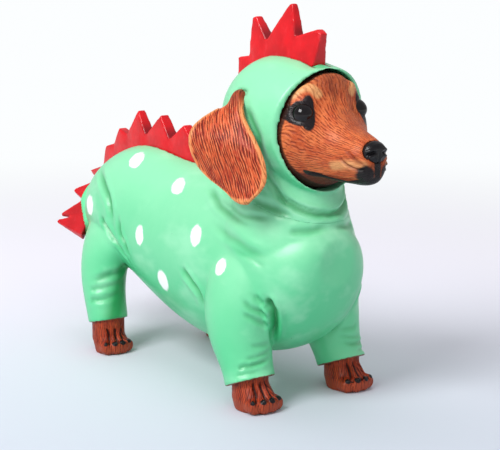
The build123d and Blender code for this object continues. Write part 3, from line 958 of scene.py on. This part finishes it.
make_eye_glass()
for eye_name, side in (("right_eye", -1), ("left_eye", 1)):
    ball = cad_copy(eye_name + "_ball", [eye_name])
    soften(ball, 0.2, 3)
    at = points(ball)
    low, high = casting_box(eye_name)
    gaze = np.array((side * math.sin(GAZE_ANGLE), -math.cos(GAZE_ANGLE), 0))
    outermost = max(abs(low[0]), abs(high[0]))
    centre = np.array((side * (outermost - EYE_RADIUS), low[1] + EYE_RADIUS, (low[2] + high[2]) / 2))
    ray = at - centre
    far = np.linalg.norm(ray, axis=1)
    skin_of_ball = far > EYE_RADIUS - 0.35
    ray[skin_of_ball] *= (EYE_RADIUS / far[skin_of_ball])[:, None]
    turn = np.arccos(np.clip(ray @ gaze / np.linalg.norm(ray, axis=1).clip(1e-6), -1, 1))
    ray *= (1 + 0.06 * bell(turn / 0.5) * skin_of_ball)[:, None]
    set_points(ball, ray + EYES[side])
    settle(ball, eye_name, "eye_glass")

# %% Nose
nose = cad_copy("nose_pad", ["nose"])
soften(nose, 0.16, 14)
at = points(nose)
out = outwards(nose)
NOSTRIL = [(1.0, -34.4, 85.9), (1.9, -34.1, 86.3), (2.9, -33.3, 86.0), (3.4, -32.2, 85.3)]
NOSE_FRONT = -34.5
for stops in (mirrored(NOSTRIL), NOSTRIL):
    draw_fold(at, out, stops, 0.8, 0.45)
draw_fold(at, out, [(0, -34.5, 86.6), (0, -34.5, 84.8), (0, -34, 83.4), (0, -33, 82.6)], 0.4, 0.3)
at[:, 1] = np.maximum(at[:, 1], NOSE_FRONT)
set_points(nose, at)


def make_nose():
    place = start("nose_leather")
    pebble = place.node("TexVoronoi", {"feature": "F1"}, {"Vector": place, "Scale": 2.4}, out="Distance")
    paint = pebble.step(0.2, 0.8).mix(tone(17, 16, 20), tone(8, 7, 9))
    close(place, paint, 0.3, pebble, relief=0.05, coat=0.16, coat_roughness=0.1, specular=0.25)


make_nose()
settle(nose, "nose", "nose_leather")

# %% [markdown]
# ## Ears
# The ears hang outside the hood. Long strokes run down to the tip, the thin rolled rim is rubbed pale, and
# the top, where the ear meets the hood, is painted dark as shade.
# %% Ears
EAR_RINGS = 40
RIM_WIDTH = 2.6
EAR_SHORTER = {-1: 0.0, 1: 1.6}


def edge_closeness(along, across):
    """0 in the middle of the ear and 1 at its outline, measured ring by ring along it."""
    place = (along - along.min()) / (np.ptp(along) / EAR_RINGS)
    rings = np.clip(place.astype(int), 0, EAR_RINGS - 1)
    members = [across[rings == ring] for ring in range(EAR_RINGS)]
    low = np.array([m.min() if len(m) else 0 for m in members])
    high = np.array([m.max() if len(m) else 0 for m in members])
    low = np.interp(place - 0.5, range(EAR_RINGS), low)
    high = np.interp(place - 0.5, range(EAR_RINGS), high)
    inside = np.minimum(np.minimum(across - low, high - across), (along - along.min()) * 0.8)
    return ramp(inside, RIM_WIDTH, 0)


def make_ear(name, side):
    """One ear, drawn in at its top and tip, with a rolled rim."""
    ear = cad_copy(name + "_carving", [name])
    soften(ear, 0.34, 6)
    at = points(ear)
    out = outwards(ear)
    forward = np.array((side * -0.454, -0.891, 0))
    ahead = at @ forward
    up = at[:, 2].copy()
    root = ahead[up > 100].mean()
    tip = ahead[up < 72].mean() + 1.2
    for middle, shrink, share in ((root, 0.25, ramp(up, 96, 102)), (tip, 0.4, ramp(up, 76, 69))):
        at += forward * ((middle - ahead) * shrink * share ** 2)[:, None]
        at[:, 2] -= (up > 90) * 0.26 * share ** 2 * (at @ forward - middle) ** 2
    at[:, 2] += EAR_SHORTER[side] * ramp(up, 78, 69) ** 2
    ahead = at @ forward
    along = 0.914 * at[:, 2] - 0.406 * ahead
    across = 0.914 * ahead + 0.406 * at[:, 2]
    edge = edge_closeness(at[:, 2], ahead)
    rolled = bell((edge - 0.66) / 0.2) - 0.6 * bell((edge - 0.2) / 0.2)
    at += out * (0.28 * rolled * (up < 97))[:, None]
    at = np.clip(at, *casting_box(name))
    set_points(ear, at)
    store_flow(ear, along, across)
    store(ear, "edge", edge)
    # Painted shade: the top of the ear, where it meets the hood, is painted dark brown.
    store(ear, "root", ramp(at[:, 2], 97, 101))
    return ear


def ear_paint(place, paint, rough, cut):
    wander = (place.noise(0.9, 3.0) - 0.5) * 0.35
    rim = (place.stored("edge") + wander).step(0.3, 0.62) * (1 - place.stored("root"))
    paint = (rim * (1 - cut * 0.25)).mix(paint, tone(230, 146, 88))
    # Painted shade at the top of the ear, under the hood.
    return (place.stored("root") * 0.6).mix(paint, tone(112, 44, 26)), rough


EAR_BROWNS = (tone(232, 140, 88), tone(204, 84, 40), tone(164, 48, 20), tone(96, 20, 6))
make_coat("ear_coat", EAR_BROWNS, 4.0, 0.8, ear_paint, relief=0.26, depth=0.95, ridge=0.75)
for ear_name, side in (("right_ear", -1), ("left_ear", 1)):
    settle(make_ear(ear_name, side), ear_name, "ear_coat")

# %% [markdown]
# ## Paws
# Each paw is a low foot with four toes. The gaps between the toes are cut deeper, each toe ends in a short
# black nail, and short hair runs forwards and down.
# %% Paws
TOES = 4
NAIL_HEIGHT = 4.7
NAIL_RADII = (1.3, 1.6, 1.15)
TURNED_OUT = 0.9


def paw_paint(place, paint, rough, cut):
    wander = (place.noise(0.9, 3.0) - 0.5) * 0.4
    paint = (place.stored("pad") * (1 - cut * 0.3) * 0.8).mix(paint, tone(160, 66, 36))
    paint = ((place.stored("edge") + wander * 0.5).step(0.3, 0.7) * 0.9).mix(paint, tone(38, 12, 9))
    nail = (place.stored("nail") + wander * 0.3).step(0.42, 0.58)
    return nail.mix(paint, tone(16, 13, 15)), rough - nail * 0.2


PAW_BROWNS = (tone(206, 96, 48), tone(170, 60, 24), tone(134, 38, 14), tone(50, 10, 4))
make_coat("paw_coat", PAW_BROWNS, 3.0, 1.0, paw_paint, relief=0.14, depth=0.8, ridge=0.5)


def make_paw(name):
    """One paw: gaps between the toes, a nail on each, and the hair round the foot."""
    low, high = casting_box(name)
    paw = cad_copy(name + "_carving", [name])
    soften(paw, 0.3, 9)
    at = points(paw)
    out = outwards(paw)
    middle = (low[0] + high[0]) / 2
    width = high[0] - low[0]
    pitch = (width + 0.8) / TOES
    turned = TURNED_OUT * ("right" in name)
    gap = np.zeros(len(at))
    for number in range(1, TOES):
        x = middle + (number - TOES / 2) * pitch - turned
        front = low[1] + 5.0 * ((x - middle) / width) ** 2
        stops = [
            (x, front + 0.2, 4.0),
            (x, front + 0.9, 5.6),
            (middle + (x - middle) * 0.8, front + 3, 7.8),
            (middle + (x - middle) * 0.62, front + 6.5, 10.5),
        ]
        gap = np.maximum(gap, draw_fold(at, out, stops, 0.7, 0.5, bank=0.5))
    nail = np.zeros(len(at))
    for number in range(TOES):
        x = middle + (number + 0.5 - TOES / 2) * pitch - turned
        beside = (np.abs(at[:, 0] - x) < 0.6) & (np.abs(at[:, 2] - NAIL_HEIGHT) < 0.6)
        front = at[beside, 1].min()
        near = np.linalg.norm((at - (x, front, NAIL_HEIGHT)) / NAIL_RADII, axis=1)
        nail = np.maximum(nail, bell(near) * 1.2)
    at += out * (0.35 * np.clip(nail - 0.35, 0, 1))[:, None]
    at[:, 2] = np.maximum(at[:, 2], 0.0)
    set_points(paw, at)
    round_paw = np.arctan2(at[:, 0] - middle, (low[1] + high[1]) / 2 - at[:, 1])
    store_flow(paw, at[:, 2], round_paw * 9)
    store(paw, "edge", gap)
    store(paw, "nail", nail)
    store(paw, "pad", ramp(at[:, 2], 4.4, 2.8))
    settle(paw, name, "paw_coat")


for paw_name in ("front_right_paw", "front_left_paw", "rear_right_paw", "rear_left_paw"):
    make_paw(paw_name)
